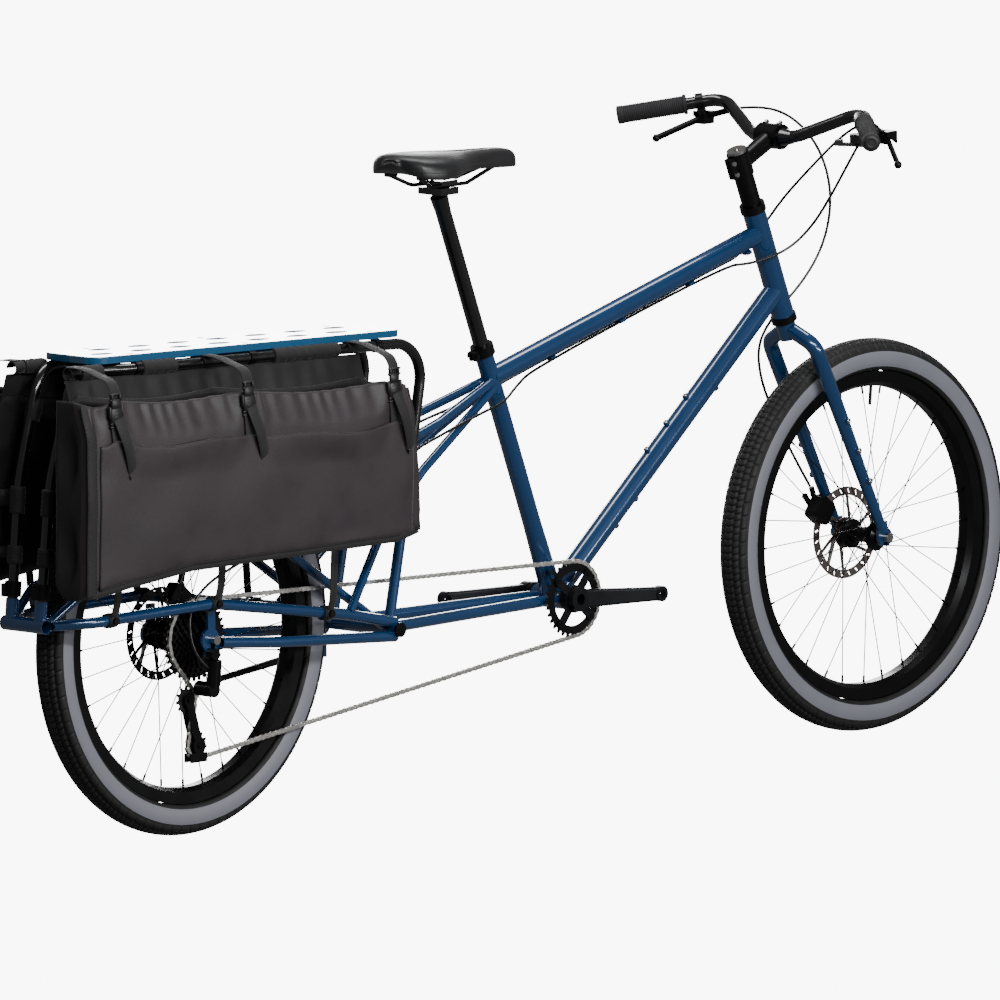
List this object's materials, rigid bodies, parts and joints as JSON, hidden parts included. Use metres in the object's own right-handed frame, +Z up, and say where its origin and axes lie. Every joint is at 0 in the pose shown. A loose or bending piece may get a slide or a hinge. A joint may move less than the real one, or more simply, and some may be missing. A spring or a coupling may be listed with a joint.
{
  "type": "longtail cargo bicycle",
  "caption": "Blue longtail cargo bicycle with a slotted rear deck, black rack hoops and a side bag on each side",
  "frame": {"origin": "on the ground under the middle of the bicycle's overall length", "axes": "+X forward, +Y to the rider's left, +Z up"},
  "size_m": [2.441, 0.6214, 1.1142],
  "materials": {
    "frame_paint": "gloss deep blue paint",
    "rack_paint": "gloss black paint",
    "deck_paint": "plywood painted gloss blue",
    "bag_fabric": "coated black polyester",
    "webbing": "black woven webbing and cuffs",
    "tyre_rubber": "black blocked tread, pale band on the sidewall",
    "black_alloy": "black anodised",
    "grey_alloy": "satin dark grey anodised",
    "bright_steel": "bright steel",
    "dark_steel": "dark plated steel",
    "chain_steel": "plated chain steel, lightly oiled",
    "black_plastic": "moulded black nylon",
    "cable_sheath": "black cable housing",
    "grip_rubber": "soft black rubber",
    "saddle_cover": "black synthetic leather"
  },
  "bodies": {
    "frame": {"head_tube": "frame_paint", "top_tube": "frame_paint", "down_tube": "frame_paint", "seat_tube": "frame_paint", "chain_stays": "frame_paint", "seat_stays": "frame_paint", "side_rails": "frame_paint", "lower_stays": "frame_paint", "cross_tubes": "frame_paint", "frame_fittings": "frame_paint", "rack_hoops": "rack_paint", "rack_collars": "black_alloy", "bag_mounts": "webbing", "deck": "deck_paint", "frame_bolts": "bright_steel", "right_bag": "bag_fabric", "left_bag": "bag_fabric", "bag_straps": "webbing", "bearing_cups": "black_alloy", "rear_caliper": "black_alloy", "derailleur": "black_alloy", "chain": "chain_steel", "shift_cable": "cable_sheath", "rear_brake_cable": "cable_sheath", "rear_axle": "bright_steel"},
    "saddle_post": {"seatpost": "black_alloy", "saddle_rails": "dark_steel", "saddle": "saddle_cover"},
    "stand": {"kickstand": "black_alloy"},
    "rear_arm": {"rear_caliper_arm": "bright_steel"},
    "guide": {"guide_pulley": "dark_steel"},
    "tensioner": {"tension_pulley": "dark_steel"},
    "steered": {"fork": "frame_paint", "stem": "black_alloy", "stem_bolts": "bright_steel", "handlebar": "black_alloy", "grips": "grip_rubber", "brake_lever_mounts": "black_alloy", "shifter": "black_plastic", "front_caliper": "black_alloy", "front_brake_cable": "cable_sheath", "front_axle": "bright_steel"},
    "left_lever": {"left_brake_lever": "black_alloy"},
    "right_lever": {"right_brake_lever": "black_alloy"},
    "thumb_lever": {"shift_lever": "black_plastic"},
    "front_arm": {"front_caliper_arm": "bright_steel"},
    "front_wheel": {"front_tyre": "tyre_rubber", "front_rim": "black_alloy", "front_spokes": "bright_steel", "front_hub": "black_alloy", "front_rotor": "bright_steel"},
    "rear_wheel": {"rear_tyre": "tyre_rubber", "rear_rim": "black_alloy", "rear_spokes": "bright_steel", "rear_hub": "black_alloy", "rear_rotor": "bright_steel"},
    "cranks": {"chainring": "dark_steel", "right_crank": "grey_alloy", "left_crank": "grey_alloy"},
    "cogs": {"cassette": "bright_steel"}
  },
  "joints": [
    {"name": "steering", "type": "hinge", "parent": "frame", "child": "steered", "pos_m": [0.65066, 0, 0.82936], "axis": [-0.3584, 0, 0.9336], "range_deg": [-60, 60], "deforming": ["shift_cable", "rear_brake_cable"]},
    {"name": "front_wheel_spin", "type": "hinge", "parent": "steered", "child": "front_wheel", "pos_m": [0.8795, 0, 0.341], "axis": [0, 1, 0], "continuous": true},
    {"name": "rear_wheel_spin", "type": "hinge", "parent": "frame", "child": "rear_wheel", "pos_m": [-0.8185, 0, 0.341], "axis": [0, 1, 0], "continuous": true},
    {"name": "crank_spin", "type": "hinge", "parent": "frame", "child": "cranks", "pos_m": [0.1015, 0, 0.314], "axis": [0, 1, 0], "continuous": true},
    {"name": "cog_spin", "type": "hinge", "parent": "frame", "child": "cogs", "pos_m": [-0.8185, 0, 0.341], "axis": [0, 1, 0], "continuous": true},
    {"name": "guide_spin", "type": "hinge", "parent": "frame", "child": "guide", "pos_m": [-0.8425, -0.0334, 0.237], "axis": [0, 1, 0], "continuous": true},
    {"name": "tensioner_spin", "type": "hinge", "parent": "frame", "child": "tensioner", "pos_m": [-0.8185, -0.0334, 0.156], "axis": [0, 1, 0], "continuous": true},
    {"name": "left_brake", "type": "hinge", "parent": "steered", "child": "left_lever", "pos_m": [0.7175, 0.216, 1.066], "axis": [0.4002, 0.6322, 0.6635], "range_deg": [0, 18], "stiffness_Nm_per_rad": 0.6},
    {"name": "right_brake", "type": "hinge", "parent": "steered", "child": "right_lever", "pos_m": [0.7175, -0.216, 1.066], "axis": [-0.4002, 0.6322, -0.6635], "range_deg": [0, 18], "stiffness_Nm_per_rad": 0.6},
    {"name": "front_pad_arm", "type": "hinge", "parent": "steered", "child": "front_arm", "pos_m": [0.822, 0.059, 0.38433], "axis": [0, 1, 0], "range_deg": [0, 18]},
    {"name": "rear_pad_arm", "type": "hinge", "parent": "frame", "child": "rear_arm", "pos_m": [-0.77417, 0.068, 0.39774], "axis": [0, -1, 0], "range_deg": [0, 18]},
    {"name": "shift_thumb", "type": "hinge", "parent": "steered", "child": "thumb_lever", "pos_m": [0.66641, -0.20234, 1.05684], "axis": [0, 0, -1], "range_deg": [0, 25], "stiffness_Nm_per_rad": 0.3},
    {"name": "saddle_height", "type": "slide", "parent": "frame", "child": "saddle_post", "axis": [-0.3584, 0, 0.9336], "range_m": [-0.24, 0.03]},
    {"name": "kickstand_swing", "type": "hinge", "parent": "frame", "child": "stand", "pos_m": [-0.3935, 0.095, 0.264], "axis": [0, -1, 0], "range_deg": [0, 78]}
  ],
  "couplings": [
    {"joint": "cog_spin", "follows": "crank_spin", "ratio": 1},
    {"joint": "tensioner_spin", "follows": "crank_spin", "ratio": 2.9091},
    {"joint": "guide_spin", "follows": "crank_spin", "ratio": -2.9091},
    {"joint": "front_pad_arm", "follows": "left_brake", "ratio": 1},
    {"joint": "rear_pad_arm", "follows": "right_brake", "ratio": 1}
  ]
}
